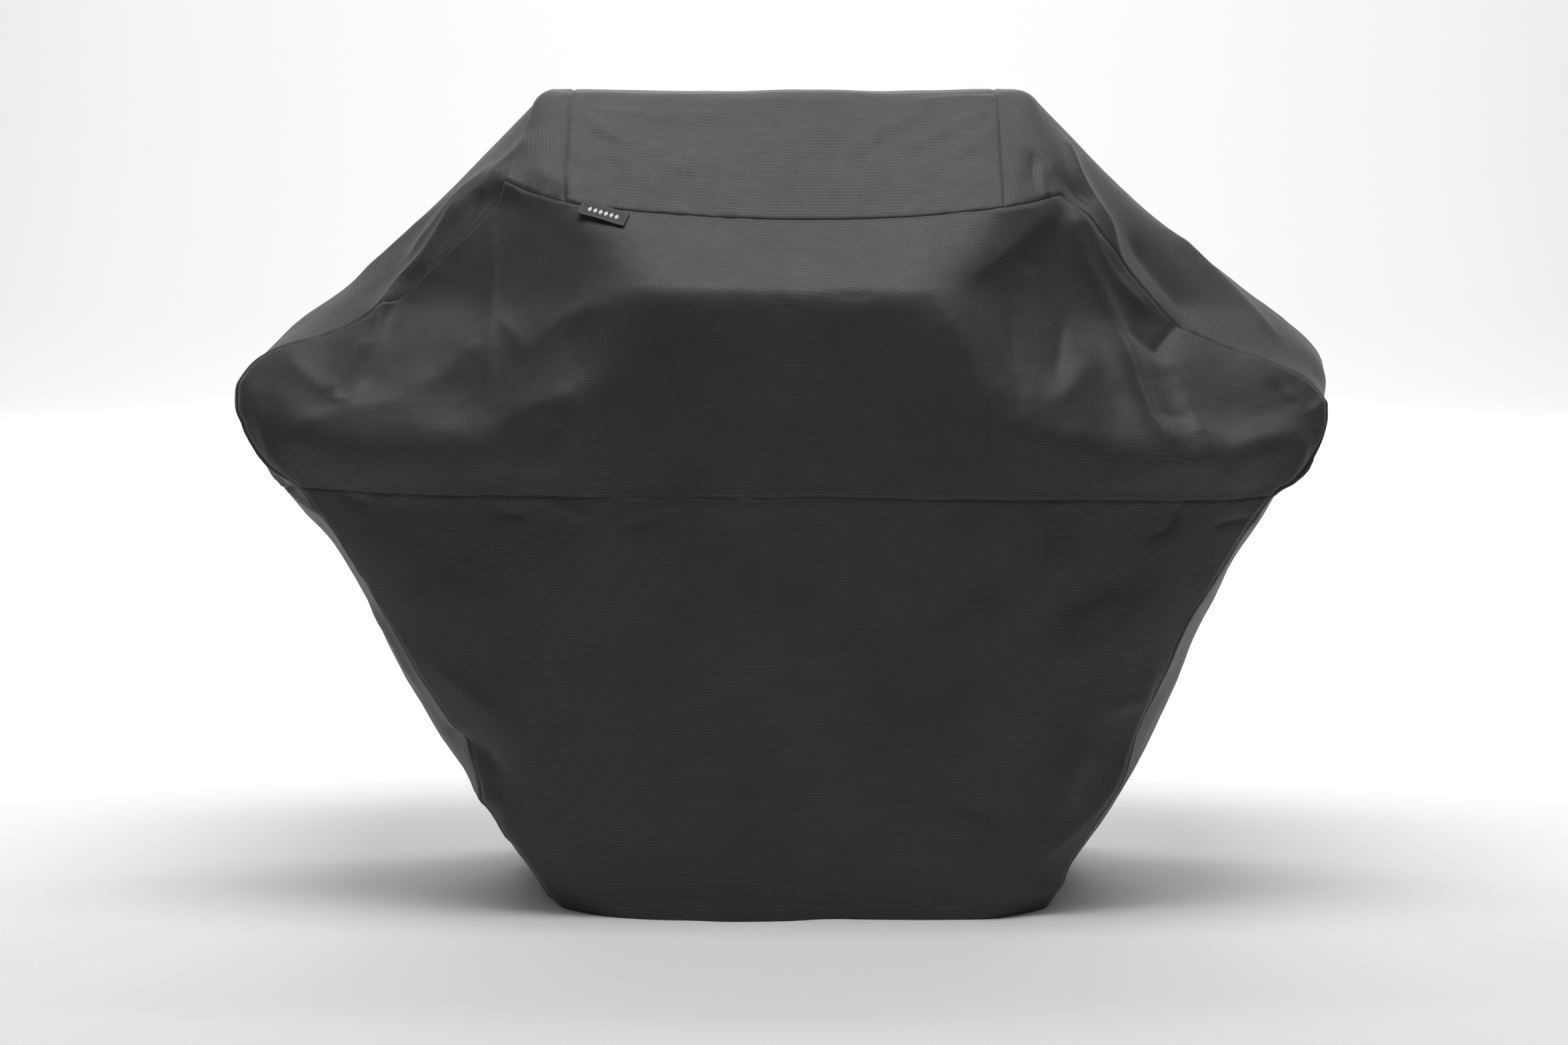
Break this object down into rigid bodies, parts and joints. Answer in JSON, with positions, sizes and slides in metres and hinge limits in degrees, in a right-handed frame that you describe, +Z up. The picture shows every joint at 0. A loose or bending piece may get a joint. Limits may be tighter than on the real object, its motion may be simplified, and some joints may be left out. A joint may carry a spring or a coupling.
{
  "type": "grill cover",
  "caption": "Fabric cover for a barbecue with side shelves, sewn from shaped panels, with a narrow crown, sloping shoulders, a tapering skirt, a seam label and side closure straps.",
  "frame": {"origin": "centre of the bounding box, on the floor under the hem", "axes": "+X right as seen from the front, -Y to the front, +Z up"},
  "size_m": [1.5728, 0.6091, 1.168],
  "materials": {
    "cover_fabric": "matt coated ripstop polyester, charcoal",
    "woven_label": "woven satin, dark grey with a pale border",
    "care_label": "white printed satin tape",
    "webbing": "black polyester webbing",
    "hook_and_loop": "black hook-and-loop tape"
  },
  "bodies": {
    "cover": {"top_panel": "cover_fabric", "left_shoulder_panel": "cover_fabric", "right_shoulder_panel": "cover_fabric", "front_upper_panel": "cover_fabric", "rear_upper_panel": "cover_fabric", "front_skirt": "cover_fabric", "rear_skirt": "cover_fabric", "left_side_skirt": "cover_fabric", "right_side_skirt": "cover_fabric", "left_loop_patch": "hook_and_loop", "right_loop_patch": "hook_and_loop"},
    "woven_label": {"woven_label": "woven_label"},
    "care_label": {"care_label": "care_label"},
    "left_strap": {"left_strap": "webbing", "left_hook_tape": "hook_and_loop"},
    "right_strap": {"right_strap": "webbing", "right_hook_tape": "hook_and_loop"}
  },
  "joints": [
    {"name": "woven_label_flap", "type": "hinge", "parent": "cover", "child": "woven_label", "pos_m": [-0.24797, -0.18835, 1.01585], "axis": [-0.942, 0.2165, 0.2563], "range_deg": [0, 150]},
    {"name": "care_label_swing", "type": "hinge", "parent": "cover", "child": "care_label", "pos_m": [-0.2, 0.22291, 1.00354], "axis": [-1, 0, 0], "range_deg": [-40, 120]},
    {"name": "left_strap_peel", "type": "hinge", "parent": "cover", "child": "left_strap", "pos_m": [-0.38878, 0.15646, 0.08374], "axis": [0.4423, -0.2422, -0.8635], "range_deg": [0, 150]},
    {"name": "right_strap_peel", "type": "hinge", "parent": "cover", "child": "right_strap", "pos_m": [0.43441, 0.15645, 0.08376], "axis": [0.4357, 0.2349, 0.8689], "range_deg": [0, 150]}
  ]
}
